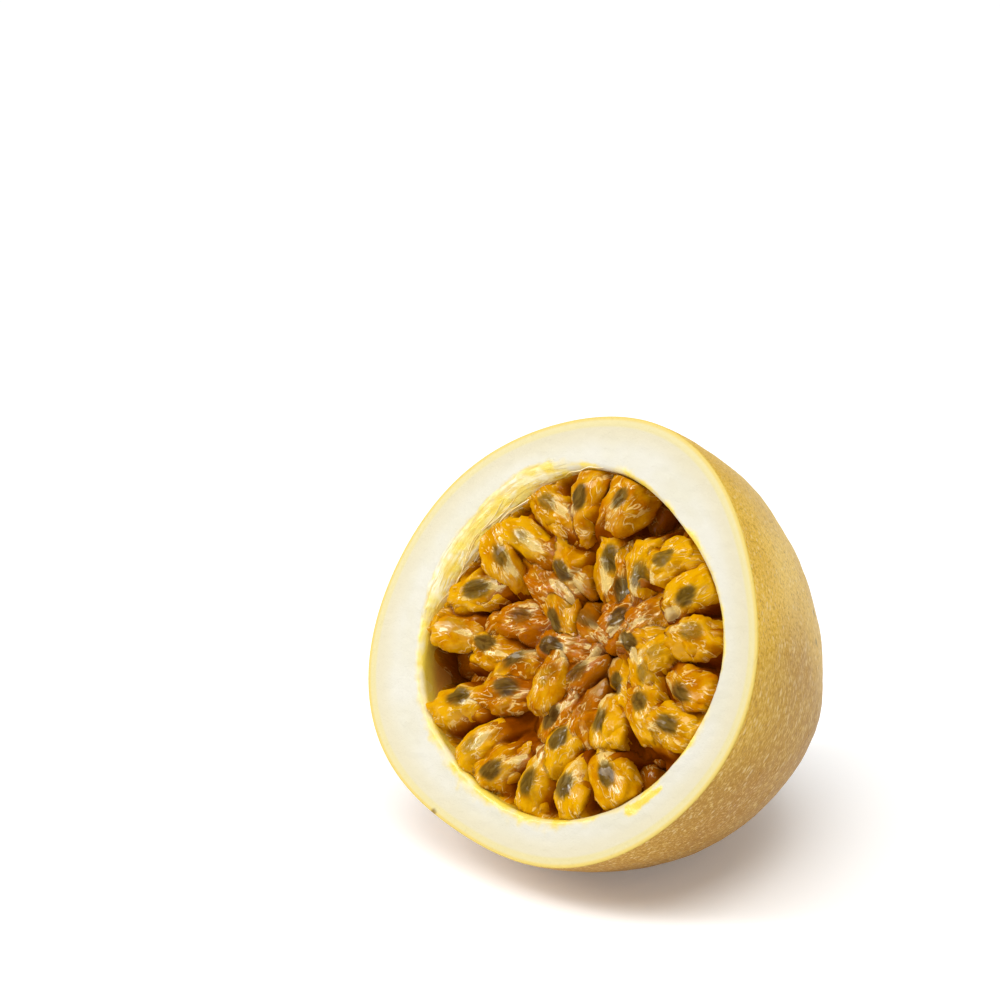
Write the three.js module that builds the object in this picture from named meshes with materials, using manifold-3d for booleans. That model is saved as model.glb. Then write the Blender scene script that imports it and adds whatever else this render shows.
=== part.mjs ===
// Half of a yellow passion fruit, cut across and lying on its side.
//
// The fruit is made in a frame of its own: z = 0 is the cut, +z points out of the cut face, and the
// stem end is at z = -HALF_LENGTH. The group at the end tips it into the frame of the part: +Z up,
// the cut face turned towards -Y and a little upwards, the origin in the middle of the rest spot.
// Millimetres and degrees throughout.

import * as THREE from "three";
import { mergeVertices } from "three/addons/utils/BufferGeometryUtils.js";
import Module from "manifold-3d";

const wasm = await Module();
wasm.setup();

// ---- driving dimensions -------------------------------------------------------------------------

const FACE_RADIUS = 37; // of the cut face, peel included
const HALF_LENGTH = 51.8; // from the cut to the stem end
const PEEL = 1.4; // thickness of the yellow skin
const HOLLOW_RADIUS = 27.9; // of the hollow that holds the pulp, at the cut
const HOLLOW_DEPTH = 43;
const GAP = 0.3; // between neighbouring pieces
const WELD = 0.001; // points closer than this are one

// The outlines are near circles with a few waves: [waves round the fruit, height, direction].
const RIM_WAVES = [[2, 0.9, 11], [3, 1.0, -36], [5, 0.4, 0]];
const HOLLOW_WAVES = [[1, 2.1, -14], [2, 0.45, 11], [3, 0.8, -23], [4, 0.6, 15]];

const DIMPLE = { depth: 1.2, radius: 6 }; // where the stem meets the skin

const FACE_TILT = 27.4; // how far the cut face looks up
const FACE_CENTRE = [-1.9, -14.6, 38.5]; // the cut face's middle, seen from the rest spot

// Juice sacs grow inwards from the wall of the hollow towards HEART, a little right of its middle.
const HEART = [3.5, 2];
const SACS = { atWall: 21, inside: 27 };
const SAC = { length: 12.2, width: 7, thickness: 6.2, taper: 0.26 };
const FROM_WALL = { atWall: 5.4, inside: 12 }; // to a sac's middle: at the wall, and further in
const SAC_DEPTH = { wall: 3.7, heart: 8.8 }; // of a sac's middle below the cut
const BED_DEPTH = { wall: 3.2, between: 6.4, heart: 10.5 }; // of the pulp under the sacs
const CORE = { radius: 26.4, depth: 25, below: 4.6 }; // joins the seeds, this far below the bed
const SEED = { length: 5.4, width: 3.6, thickness: 2.6, proud: 0.4, towardsWall: 1.6, root: 12 };
const SLOPE = 14; // how far the sacs dip towards the heart
const SCATTER = { yaw: 38, pitch: 12, roll: 22, size: 0.14, shift: 1.2 };
const DRAW_SEED = 19;

// Empty places in the pulp, three at the wall and two in a cleft: the middle, and the radii along
// x, y and z.
const POCKETS = [
  { at: [7, 24.5, -5], radii: [5.5, 4, 6] },
  { at: [-22.5, -9, -4], radii: [3, 5, 5.5] },
  { at: [20.5, -16.5, -4], radii: [3.2, 3.2, 5] },
  { at: [0, 9, -8], radii: [2.6, 5, 5] },
  { at: [6.5, -4, -8], radii: [2.6, 3.6, 5] },
];

// The dried stub of the stem, ribbed and broken off, and the shrivelled lobes round its foot.
const STUB = { foot: 2.0, end: 1.6, length: 4.2, ribs: 6, ribHeight: 0.16, jag: 0.5 };
const LOBES = { count: 7, out: 2.7, radii: [2.3, 1.25, 0.6], lift: 0.95, droop: 10 };

const FINE = { round: 36, rise: 8 }; // facets round the fruit, and from its stem end to the cut
const COARSE = { round: 20, rise: 5 }; // the same on what is hidden inside

// ---- helpers ------------------------------------------------------------------------------------

const rad = THREE.MathUtils.degToRad;

let drawState = DRAW_SEED;

/** The next number from -1 to 1 in a repeatable sequence. */
function draw() {
  drawState = (Math.imul(drawState, 1664525) + 1013904223) >>> 0;
  return drawState / 2 ** 31 - 1;
}

/** A closed three.js geometry as a solid that can be joined and cut. */
function solid(geometry, weld = 1e-4) {
  geometry.deleteAttribute("normal");
  geometry.deleteAttribute("uv");
  const merged = mergeVertices(geometry, weld);
  const mesh = { numProp: 3, vertProperties: merged.attributes.position.array };
  return new wasm.Manifold(new wasm.Mesh({ ...mesh, triVerts: new Uint32Array(merged.index.array) }));
}

/** A solid's surface as a three.js geometry. */
function surface(whole) {
  const { vertProperties, triVerts } = whole.getMesh();
  const geometry = new THREE.BufferGeometry();
  geometry.setAttribute("position", new THREE.BufferAttribute(vertProperties, 3));
  return geometry.setIndex(new THREE.BufferAttribute(triVerts, 1));
}

/** One body out of what joining left: points within WELD become one, and scraps and sealed voids go. */
function oneBody(whole) {
  const bodies = solid(surface(whole), WELD).decompose();
  return bodies.reduce((a, b) => (b.volume() > a.volume() ? b : a));
}

/** A solid as a named mesh of one colour. */
function piece(name, whole, color, roughness) {
  const geometry = surface(oneBody(whole));
  const material = new THREE.MeshStandardMaterial({ color, roughness, flatShading: true });
  const mesh = new THREE.Mesh(geometry, material);
  mesh.name = name;
  return mesh;
}

/** How far an outline with these waves stands out from its circle in the direction of an angle. */
function waves(list, angle) {
  const stand = ([count, height, toward]) => height * Math.cos(count * (angle - rad(toward)));
  return list.reduce((sum, wave) => sum + stand(wave), 0);
}

// ---- the body of the fruit ----------------------------------------------------------------------

/**
 * A half-egg, round end down, closed at the top. Its profile is a part of an ellipse, from the pole
 * at z = -depth up to z = top, then along `lid`, a list of [part of the radius, z] that ends on the
 * axis. Each point is then moved outwards by the outline's waves, in proportion to its radius.
 */
function halfEgg(radius, depth, outline, { top, lid }, { round, rise } = FINE) {
  const profile = [];
  for (let i = 0; i <= rise; i++) {
    const angle = Math.acos(-top / depth) * (i / rise);
    const r = radius * Math.sin(angle);
    const dimple = DIMPLE.depth * Math.exp(-((r / DIMPLE.radius) ** 2));
    profile.push(new THREE.Vector2(r, -depth * Math.cos(angle) + dimple));
  }
  for (const [part, z] of lid) profile.push(new THREE.Vector2(radius * part, z));
  const shape = new THREE.LatheGeometry(profile, round).rotateX(Math.PI / 2);
  const place = shape.attributes.position;
  for (let i = 0; i < place.count; i++) {
    const [x, y] = [place.getX(i), place.getY(i)];
    const grow = 1 + waves(outline, Math.atan2(y, x)) / radius;
    place.setXY(i, x * grow, y * grow);
  }
  return solid(shape);
}

const FLUSH = { top: 0, lid: [[0, 0]] };
const RAISED = { top: 0, lid: [[1, 6], [0, 6]] }; // for a cutter, which has to pass through the cut

/** The fruit's outer form, shrunk by `inset` all over. */
function fruit(inset, closing = FLUSH) {
  return halfEgg(FACE_RADIUS - inset, HALF_LENGTH - inset, RIM_WAVES, closing);
}

/** The hollow's form, shrunk by `inset` all over. */
function hollow(inset, closing, facets = FINE) {
  return halfEgg(HOLLOW_RADIUS - inset, HOLLOW_DEPTH - inset, HOLLOW_WAVES, closing, facets);
}

// ---- the pulp -----------------------------------------------------------------------------------

/** An ellipsoid of few facets: radii along its own axes, and the matrix that places it. */
function ellipsoid(radii, place, around = 8, along = 5, taper = 0) {
  const shape = new THREE.SphereGeometry(1, around, along).rotateZ(-Math.PI / 2);
  const points = shape.attributes.position;
  for (let i = 0; i < points.count; i++) {
    const thin = 1 - taper * points.getX(i);
    points.setXYZ(i, points.getX(i), points.getY(i) * thin, points.getZ(i) * thin);
  }
  return solid(shape.scale(...radii).applyMatrix4(place));
}

/** Whether a point is inside one of the empty places. */
function inPocket(point) {
  return POCKETS.some(({ at, radii }) => {
    const [x, y, z] = point.toArray().map((value, i) => (value - at[i]) / radii[i]);
    return x * x + y * y + z * z < 1;
  });
}

/** One juice sac's place: in which direction from the heart, and how far out towards the wall. */
function placeSac(angle, out, fromWall) {
  const wall = HOLLOW_RADIUS + waves(HOLLOW_WAVES, angle);
  const outward = [wall * Math.cos(angle) - HEART[0], wall * Math.sin(angle) - HEART[1]];
  const part = out * (1 - fromWall / Math.hypot(...outward));
  const depth = THREE.MathUtils.lerp(SAC_DEPTH.heart, SAC_DEPTH.wall, part / 0.8);
  const middle = new THREE.Vector3(
    HEART[0] + outward[0] * part + SCATTER.shift * draw(),
    HEART[1] + outward[1] * part + SCATTER.shift * draw(),
    -depth + (SCATTER.shift / 2) * draw(),
  );
  const inward = Math.atan2(-outward[1], -outward[0]) + rad(SCATTER.yaw * draw());
  const roll = rad(SCATTER.roll * draw());
  const dip = rad(SLOPE + SCATTER.pitch * draw());
  const turn = new THREE.Euler(roll, dip, inward, "ZYX");
  return { middle, turn, size: 1 + SCATTER.size * draw() };
}

/**
 * Every juice sac's place, with x along the sac, towards the heart. Sacs stand side by side along
 * the wall. The rest lie inside on a sunflower's spiral, each a golden angle further round. A draw
 * moves and turns each a little.
 */
function layOutSacs() {
  const golden = Math.PI * (3 - Math.sqrt(5));
  const places = [];
  for (let i = 0; i < SACS.atWall; i++) {
    places.push(placeSac((2 * Math.PI * i) / SACS.atWall, 1, FROM_WALL.atWall));
  }
  for (let i = 0; i < SACS.inside; i++) {
    places.push(placeSac(i * golden, Math.sqrt((i + 0.5) / SACS.inside), FROM_WALL.inside));
  }
  return places.filter(({ middle }) => !inPocket(middle));
}

const sacPlaces = layOutSacs();

/** The matrix that puts a thing drawn round the origin at an offset inside a sac. */
function inSac({ middle, turn }, offset) {
  const matrix = new THREE.Matrix4().makeRotationFromEuler(turn);
  const at = new THREE.Vector3(...offset).applyMatrix4(matrix).add(middle);
  return matrix.setPosition(at);
}

/** One juice sac: an egg shape, blunt at the wall and narrower towards the heart. */
function sac(place) {
  const radii = [SAC.length, SAC.width, SAC.thickness].map((size) => (size / 2) * place.size);
  return ellipsoid(radii, inSac(place, [0, 0, 0]), 7, 5, SAC.taper);
}

/** One seed, standing a little out of its sac, with a root that tapers down to the core. */
function seed(place, grow) {
  const lift = (SAC.thickness / 2) * place.size + SEED.proud - SEED.thickness / 2;
  const matrix = inSac(place, [-SEED.towardsWall, 0, lift]);
  const radii = [SEED.length, SEED.width, SEED.thickness].map((size) => size / 2 + grow);
  const around = 7;
  const shape = new THREE.SphereGeometry(1, around, 3).rotateX(Math.PI / 2);
  const points = shape.scale(...radii).applyMatrix4(matrix).attributes.position;
  const [x, y, z] = new THREE.Vector3().setFromMatrixPosition(matrix).toArray();
  for (let i = 1; i <= around + 1; i++) points.setXYZ(points.count - i, x, y, z - SEED.root - grow);
  return solid(shape);
}

/** Every seed on the core that joins them, where the deeper seeds are. */
function seedCluster(grow) {
  const depths = [BED_DEPTH.wall, BED_DEPTH.between, BED_DEPTH.heart];
  const [top, between, middle] = depths.map((depth) => grow - depth - CORE.below);
  const closing = { top, lid: [[0.5, between], [0, middle]] };
  const core = halfEgg(CORE.radius + grow, CORE.depth + grow, HOLLOW_WAVES, closing, COARSE);
  return sacPlaces.reduce((whole, place) => whole.add(seed(place, grow)), core);
}

/** The juice sacs on the mass of pulp below them, with room left for the seeds. */
function sacCluster() {
  const closing = { top: -BED_DEPTH.wall, lid: [[0.55, -BED_DEPTH.between], [0, -BED_DEPTH.heart]] };
  let pulp = hollow(2.5 * GAP, closing, COARSE);
  for (const { at, radii } of POCKETS) {
    pulp = pulp.subtract(ellipsoid(radii, new THREE.Matrix4().setPosition(...at), 10, 8));
  }
  pulp = sacPlaces.reduce((whole, place) => whole.add(sac(place)), pulp);
  return pulp.intersect(hollow(GAP, { top: -0.6, lid: [[0, -0.6]] }, COARSE)).subtract(seedCluster(GAP));
}

// ---- the stem -----------------------------------------------------------------------------------

/** The stub: a tapered rod with ribs along it, and a jagged end where it broke off. */
function stub() {
  const sunk = 2;
  const rod = new THREE.CylinderGeometry(STUB.foot, STUB.end, STUB.length + sunk, 2 * STUB.ribs)
    .rotateX(Math.PI / 2)
    .translate(0, 0, (sunk - STUB.length) / 2);
  const points = rod.attributes.position;
  for (let i = 0; i < points.count; i++) {
    const [x, y, z] = [points.getX(i), points.getY(i), points.getZ(i)];
    const rib = Math.cos(STUB.ribs * Math.atan2(y, x)) * Math.sign(Math.hypot(x, y));
    const grow = 1 + STUB.ribHeight * rib;
    points.setXYZ(i, x * grow, y * grow, z < 0 ? z - STUB.jag * rib : z);
  }
  return solid(rod);
}

/** The stub with its lobes, which lie spread on the skin. */
function stem() {
  let whole = stub();
  for (let i = 0; i < LOBES.count; i++) {
    const place = new THREE.Matrix4()
      .makeRotationZ((2 * Math.PI * i) / LOBES.count)
      .multiply(new THREE.Matrix4().makeTranslation(LOBES.out, 0, -LOBES.lift))
      .multiply(new THREE.Matrix4().makeRotationY(rad(LOBES.droop)));
    whole = whole.add(ellipsoid(LOBES.radii, place, 6, 5, 0.4));
  }
  return whole.translate([0, 0, DIMPLE.depth - HALF_LENGTH]).subtract(fruit(-GAP));
}

// ---- the pieces ---------------------------------------------------------------------------------

const leaning = new THREE.Matrix4()
  .makeTranslation(...FACE_CENTRE)
  .multiply(new THREE.Matrix4().makeRotationX(rad(90 - FACE_TILT)));

/** The slab of table that presses the rest spot flat, in the fruit's own frame. */
function table() {
  const thick = 20;
  const slab = new THREE.BoxGeometry(200, 200, thick).translate(0, 0, -thick / 2);
  return solid(slab.applyMatrix4(leaning.clone().invert()));
}

const peel = fruit(0).subtract(fruit(PEEL, RAISED)).subtract(table());
const pith = fruit(PEEL + GAP).subtract(hollow(0, RAISED));

const half = new THREE.Group();
half.add(
  piece("peel", peel, 0xd2ad55, 0.45),
  piece("pith", pith, 0xf3eedc, 0.75),
  piece("juice_sacs", sacCluster(), 0xe0930f, 0.2),
  piece("seeds", seedCluster(0), 0x3a2c1c, 0.4),
  piece("stem", stem(), 0x4d3a2a, 0.9),
);
half.applyMatrix4(leaning);

const part = new THREE.Group();
part.add(half);

export default part;
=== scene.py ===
# %% [markdown]
# # A cut passion fruit, made of numpy surfaces
#
# The part is one half of a yellow passion fruit, lying on its side: a thin speckled skin, a thick
# white rind, a hollow full of wet juice sacs with a dark seed in each, and the dried stub of the
# stem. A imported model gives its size, its place and its plain solids. This lesson makes the fine
# surfaces that stand for those solids, one cell at a time.
#
# Every shape is worked out in the fruit's own frame, in millimetres: the cut is the plane z = 0,
# the fruit lies below it, and y runs up the cut face. One function then leans the fruit back on
# its side and turns millimetres into metres, so no object is ever moved or turned.

# %% The fixed frame
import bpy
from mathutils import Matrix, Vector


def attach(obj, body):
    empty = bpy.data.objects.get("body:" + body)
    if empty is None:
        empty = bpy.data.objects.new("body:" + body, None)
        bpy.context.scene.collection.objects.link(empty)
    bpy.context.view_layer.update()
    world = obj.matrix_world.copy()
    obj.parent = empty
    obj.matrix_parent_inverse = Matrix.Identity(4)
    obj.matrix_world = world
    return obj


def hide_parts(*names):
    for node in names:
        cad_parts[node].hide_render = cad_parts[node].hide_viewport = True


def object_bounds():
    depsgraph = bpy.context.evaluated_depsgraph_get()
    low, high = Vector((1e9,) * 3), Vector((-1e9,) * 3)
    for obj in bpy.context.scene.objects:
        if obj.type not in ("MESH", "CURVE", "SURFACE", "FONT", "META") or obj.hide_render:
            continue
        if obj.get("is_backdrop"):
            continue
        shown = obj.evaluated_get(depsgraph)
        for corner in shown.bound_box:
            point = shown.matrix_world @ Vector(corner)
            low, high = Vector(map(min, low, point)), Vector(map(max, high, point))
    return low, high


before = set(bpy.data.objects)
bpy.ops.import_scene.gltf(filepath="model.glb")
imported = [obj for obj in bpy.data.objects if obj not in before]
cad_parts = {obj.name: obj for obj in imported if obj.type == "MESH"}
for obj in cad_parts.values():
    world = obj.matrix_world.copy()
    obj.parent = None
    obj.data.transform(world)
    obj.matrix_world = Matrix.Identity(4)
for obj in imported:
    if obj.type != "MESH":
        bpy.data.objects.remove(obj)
cad_box = [list(corner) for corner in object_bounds()]

import bpy
import numpy as np
from mathutils import Vector

print("solids in the frame:", ", ".join(sorted(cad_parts)))

# %% [markdown]
# ## The driving sizes
#
# A fruit half is close to half an egg, round end down, with a smaller half-egg hollowed out of it.
# Neither outline is a true circle. A few waves round each one, of a millimetre or two, are enough
# to make them look grown. The same values drive the solids, so both models agree.

# %% Sizes of the fruit, in millimetres and degrees
FACE_RADIUS = 37.0  # of the cut face, skin included
HALF_LENGTH = 51.8  # from the cut to the stem end
PEEL = 1.4  # thickness of the skin
HOLLOW_RADIUS = 27.9
HOLLOW_DEPTH = 43.0
RIM_WAVES = [(2, 0.9, 11), (3, 1.0, -36), (5, 0.4, 0)]  # (waves round, height, direction)
HOLLOW_WAVES = [(1, 2.1, -14), (2, 0.45, 11), (3, 0.8, -23), (4, 0.6, 15)]
DIMPLE_DEPTH, DIMPLE_RADIUS = 1.2, 6.0
FACE_TILT = 27.4  # how far the cut face looks up
FACE_CENTRE = np.array([-1.9, -14.6, 38.5])  # seen from the spot that the fruit rests on


def outline(waves, angle):
    """Sum over the waves of height times cos(count times (angle - direction))."""
    return sum(h * np.cos(count * (angle - np.radians(toward))) for count, h, toward in waves)


def lean_back(points):
    """Turns points about X by 90 - FACE_TILT degrees, moves them to FACE_CENTRE, in metres."""
    turn = np.radians(90 - FACE_TILT)
    x, y, z = np.moveaxis(points, -1, 0)
    turned = [x, y * np.cos(turn) - z * np.sin(turn), y * np.sin(turn) + z * np.cos(turn)]
    return (np.stack(turned, -1) + FACE_CENTRE) / 1000


print(f"the half is {2 * FACE_RADIUS:.0f} mm across and {HALF_LENGTH:.1f} mm long")

# %% [markdown]
# ## From a grid of points to a closed mesh
#
# Every form here is a grid: rows run from one pole to the other, columns run round it, and the
# first and last row each shrink to a point. One function turns such grids into one mesh, so forty
# sacs cost no more code than one. Blender's own primitives would need editing point by point; a
# grid is moved, dented and coloured as one array.

# %% Closed grids as meshes
def sew(values):
    """Values of closed forms, of shape (forms, rows, columns, ...), with one value at each pole."""
    rings = values[:, 1:-1].reshape(len(values), -1, *values.shape[3:])
    return np.concatenate([values[:, 0, :1], rings, values[:, -1, :1]], 1)


def close_grids(grids):
    """Corners and faces of closed forms, from an array of shape (forms, rows, columns, 3).

    Each ring of corners is joined to the next by quads, and each pole to its ring by triangles. A
    form whose signed volume, the sum of a . (b x c) over its triangles, is negative is turned.
    """
    forms, rows, columns = grids.shape[:3]
    ring = 1 + np.arange((rows - 2) * columns).reshape(rows - 2, columns)
    ahead = np.roll(ring, -1, axis=1)
    last = (rows - 2) * columns + 1
    quads = np.stack([ring[:-1], ahead[:-1], ahead[1:], ring[1:]], -1).reshape(-1, 4)
    fans = np.concatenate([
        np.stack([np.zeros(columns, int), ahead[0], ring[0]], -1),
        np.stack([np.full(columns, last), ring[-1], ahead[-1]], -1),
    ])
    corners = sew(grids)
    a, b, c, d = (corners[:, quads[:, i]] for i in range(4))
    volume = (a * np.cross(b, c)).sum((1, 2)) + (a * np.cross(c, d)).sum((1, 2))
    faces = []
    for form in range(forms):
        way = 1 if volume[form] > 0 else -1
        start = form * (last + 1)
        faces += (quads[:, ::way] + start).tolist() + (fans[:, ::way] + start).tolist()
    return corners.reshape(-1, 3), faces


def make_piece(name, grids, finish, node, slot, **painted):
    """A named object from closed grids, with numbers painted on the same grids as attributes."""
    corners, faces = close_grids(grids)
    mesh = bpy.data.meshes.new(name)
    mesh.from_pydata(corners, [], faces)
    mesh.shade_smooth()
    for key, values in painted.items():
        numbers = sew(np.broadcast_to(values, grids.shape[:3])).ravel().astype(np.float32)
        mesh.attributes.new(key, "FLOAT", "POINT").data.foreach_set("value", numbers)
    mesh.materials.append(finish)
    piece = bpy.data.objects.new(name, mesh)
    bpy.context.scene.collection.objects.link(piece)
    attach(piece, "root")
    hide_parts(node)
    triangles = sum(len(face) - 2 for face in faces)
    print(f"{name}: {len(grids)} forms, {len(corners)} corners, {triangles} triangles")


def steps_round(columns):
    """Angles in equal steps round a full turn."""
    return np.linspace(0, 2 * np.pi, columns, endpoint=False)


def ripple(points, size, seed, count=20):
    """Soft noise, about -1 to 1: `count` sine waves of random directions, about `size` mm long."""
    draw = np.random.default_rng(seed)
    ways = draw.normal(size=(count, 3))
    pace = 2 * np.pi / size / draw.uniform(0.6, 1.7, count)
    ways *= (pace / np.linalg.norm(ways, axis=1))[:, None]
    phases = draw.uniform(0, 2 * np.pi, count)
    return np.sin(points @ ways.T + phases).sum(-1) / np.sqrt(count)


def soft_min(a, b, blend):
    """The smaller value, rounded where they meet: half of (a + b - sqrt((a - b)^2 + blend^2))."""
    return (a + b - np.sqrt((a - b) ** 2 + blend**2)) / 2


def fade(low, high, value):
    """0 below low, 1 above high, and the smooth step 3t^2 - 2t^3 between."""
    t = np.clip((value - low) / (high - low), 0, 1)
    return t * t * (3 - 2 * t)


# %% [markdown]
# ## Writing materials as sums
#
# A node tree is a formula drawn as boxes. Written as Python, the same formula is one line. `Wire`
# wraps a socket and turns + - * into Math nodes. `Finish` holds one material and makes every
# other node through one method.

# %% Wires and finishes
def linear(code):
    """A colour written as six hex digits, as linear red, green, blue and alpha 1."""
    parts = np.array([int(code[i : i + 2], 16) for i in (0, 2, 4)]) / 255
    parts = np.where(parts > 0.04045, ((parts + 0.055) / 1.055) ** 2.4, parts / 12.92)
    return (*parts.tolist(), 1.0)


class Wire:
    """A socket of a material, with arithmetic."""

    def __init__(self, finish, socket):
        self.finish, self.socket = finish, socket

    def math(self, operation, *values, clamp=False):
        inputs = dict(zip(["Value", "Value_001", "Value_002"], values))
        settings = {"operation": operation, "use_clamp": clamp}
        return self.finish.node("ShaderNodeMath", settings, "Value", **inputs)

    def __add__(self, other):
        return self.math("ADD", self, other)

    def __sub__(self, other):
        return self.math("SUBTRACT", self, other)

    def __rsub__(self, other):
        return self.math("SUBTRACT", other, self)

    def __mul__(self, other):
        return self.math("MULTIPLY", self, other)

    __radd__, __rmul__ = __add__, __mul__

    def clamp(self):
        return self.math("MULTIPLY", self, 1.0, clamp=True)

    def step(self, low, high):
        """0 at low, 1 at high, smooth between and flat beyond; low may be above high."""
        ends = (low, high, 0.0, 1.0) if low < high else (high, low, 1.0, 0.0)
        inputs = dict(zip(["From Min", "From Max", "To Min", "To Max"], ends))
        settings = {"interpolation_type": "SMOOTHSTEP"}
        return self.finish.node("ShaderNodeMapRange", settings, "Result", Value=self, **inputs)


class Finish:
    """One material: its shader's constants, and a method that adds nodes and links them."""

    def __init__(self, name, **constants):
        self.material = bpy.data.materials.new(name)
        self.material.use_nodes = True
        self.tree = self.material.node_tree
        self.shader = self.tree.nodes["Principled BSDF"]
        self.set(**constants)

    def set(self, **inputs):
        """Sets or links the shader's sockets; Base_Color stands for Base Color."""
        for key, value in inputs.items():
            self.feed(self.shader.inputs[key.replace("_", " ")], value)

    def feed(self, socket, value):
        """Links a wire or sets a constant; a text is a colour's six hex digits."""
        if isinstance(value, Wire):
            self.tree.links.new(value.socket, socket)
        else:
            socket.default_value = linear(value) if isinstance(value, str) else value

    def node(self, kind, settings, output, **inputs):
        """Adds a node, sets it up, feeds its inputs by identifier, and returns one output."""
        node = self.tree.nodes.new(kind)
        for key, value in settings.items():
            setattr(node, key, value)
        sockets = {socket.identifier: socket for socket in node.inputs}
        for key, value in inputs.items():
            self.feed(sockets[key], value)
        return Wire(self, {socket.identifier: socket for socket in node.outputs}[output])

    def place(self, stretch=(1, 1, 1)):
        """Where a point is in the fruit's frame, in mm, with each axis divided by its stretch."""
        here = self.node("ShaderNodeTexCoord", {}, "Object")
        inputs = {
            "Vector": here,
            "Location": (FACE_CENTRE / 1000).tolist(),
            "Rotation": (np.radians(90 - FACE_TILT), 0, 0),
            "Scale": [0.001 * value for value in stretch],
        }
        return self.node("ShaderNodeMapping", {"vector_type": "TEXTURE"}, "Vector", **inputs)

    def noise(self, place, size, detail=2.0, roughness=0.5, distortion=0.0):
        """Noise whose lumps are about `size` mm across, from 0 to 1."""
        inputs = {"Vector": place, "Scale": 1 / size, "Detail": detail, "Roughness": roughness}
        return self.node("ShaderNodeTexNoise", {}, "Fac", Distortion=distortion, **inputs)

    def cells(self, place, size):
        """Voronoi cells about `size` mm across: the distance to the nearest cell's middle."""
        return self.node("ShaderNodeTexVoronoi", {}, "Distance", Vector=place, Scale=1 / size)

    def join(self, x, y, z):
        """A place from three numbers."""
        return self.node("ShaderNodeCombineXYZ", {}, "Vector", X=x, Y=y, Z=z)

    def mix(self, factor, a, b):
        """A colour between a and b."""
        inputs = {"Factor_Float": factor, "A_Color": a, "B_Color": b}
        return self.node("ShaderNodeMix", {"data_type": "RGBA"}, "Result_Color", **inputs)

    def painted(self, key):
        """A number kept on the mesh's corners."""
        return self.node("ShaderNodeAttribute", {"attribute_name": key}, "Fac")

    def bump(self, height, distance):
        """A normal from a height of 0 to 1 that stands for `distance` mm."""
        return self.node("ShaderNodeBump", {}, "Normal", Height=height, Distance=distance / 1000)


# %% [markdown]
# ## The skin
#
# The skin of a yellow passion fruit is waxy and covered with fine pale specks, drawn out round its
# sides, with a dark dot here and there. It is yellower near the cut. Lower down it is darkened to
# brown as painted shade, and higher up it is paled as a painted sheen. Its cut edge fades from
# yellow outside to the rind's cream inside. A squeezed sphere would give the form, but a profile
# carried round an axis gives the rounded lip of the cut as well. The pattern is Voronoi cells and
# noise on coordinates stretched one way. Three single dark spots, one of them a nick in the rim,
# are painted on the corners.

# %% The skin's finish
def finish_skin():
    skin = Finish("waxy_skin", IOR=1.4, Specular_IOR_Level=0.25)
    skin.set(Coat_Weight=0.06, Coat_Roughness=0.3)
    long, even = skin.place(stretch=(1, 3, 1.2)), skin.place()
    cut, under, near_cut, mark = map(skin.painted, ("into_skin", "under", "near_cut", "mark"))
    specks = skin.cells(long, 0.85).step(0.34, 0.14) * skin.noise(even, 3.2).step(0.36, 0.56)
    fine = skin.cells(long, 0.42).step(0.42, 0.15) * skin.noise(even, 1.6).step(0.36, 0.56)
    grain = skin.noise(long, 0.34, detail=3.0, roughness=0.7)
    blotch = skin.noise(even, 15.0, detail=3.0).step(0.35, 0.68)
    dots = skin.cells(even, 6.5).step(0.055, 0.035)
    dots = dots + skin.cells(even, 2.6).step(0.07, 0.04) * blotch * 0.6

    # Broad colour, painted sheen and painted shade first, then grain and specks, then marks and the
    # cut edge.
    colour = skin.mix(blotch, "efc040", "d8a638")
    # Painted sheen: higher up and away from the cut the skin is paled, as light falls from above.
    colour = skin.mix((1 - under) * (1 - near_cut) * 0.4, colour, "ecd084")
    colour = skin.mix(near_cut * 0.6, colour, "e8ba34")
    # Painted shade: the skin darkens to brown lower down, towards the table.
    colour = skin.mix(under * 0.85, colour, "92600a")
    colour = skin.mix(grain.step(0.5, 0.32) * 0.6, colour, "96681e")
    colour = skin.mix(grain.step(0.5, 0.66) * 0.4 + fine * 0.22, colour, "f4d888")
    colour = skin.mix(specks * 0.4, colour, "f6e0a4")
    colour = skin.mix(dots.clamp(), colour, "3f2c18")
    edge = skin.mix(cut.step(0.05, 0.5), "ceb458", "cabe8c")
    colour = skin.mix(cut.step(0.0, 0.06), colour, edge)
    colour = skin.mix(mark.step(0.2, 0.9) * 0.75, colour, "6a4a14")
    height = specks * 0.5 + fine * 0.25 + skin.noise(even, 0.7, detail=3.0)
    skin.set(Base_Color=colour, Normal=skin.bump(height, 0.09), Roughness=0.5 - specks * 0.12)
    return skin.material


# %% [markdown]
# The profile starts at the stem end, climbs the outside, rounds the lip, crosses the cut edge and
# goes down the inside, so the skin is one closed sheet with its true thickness. The weight of the
# fruit presses a small flat spot where it lies: every point below the table is lifted onto it,
# with a soft edge.

# %% The skin's surface
LIP = 0.25  # radius of the rounded edge
PEEL_ROWS, PEEL_COLUMNS = 170, 400  # rows up the outside, and columns round it
MARK_RADIUS = 0.7
MARKS = [(27.0, 16.5, -25.5), (30.1, 12.2, -24.2), (-13.9, -32.6, 0.0)]  # the dark spots


def revolve(r, z, radius, waves, columns):
    """Carries a profile round the axis: (r g cos a, r g sin a, z), g = 1 + outline / radius."""
    angle = steps_round(columns)
    grow = 1 + outline(waves, angle) / radius
    x, y = np.outer(r, grow * np.cos(angle)), np.outer(r, grow * np.sin(angle))
    return np.stack([x, y, np.repeat(z[:, None], columns, 1)], -1)


def egg(radius, depth, rise):
    """Half an ellipse from its pole: r = radius sin(rise), z = -depth cos(rise) + the dimple."""
    r = radius * np.sin(rise)
    return r, -depth * np.cos(rise) + DIMPLE_DEPTH * np.exp(-((r / DIMPLE_RADIUS) ** 2))


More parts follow.
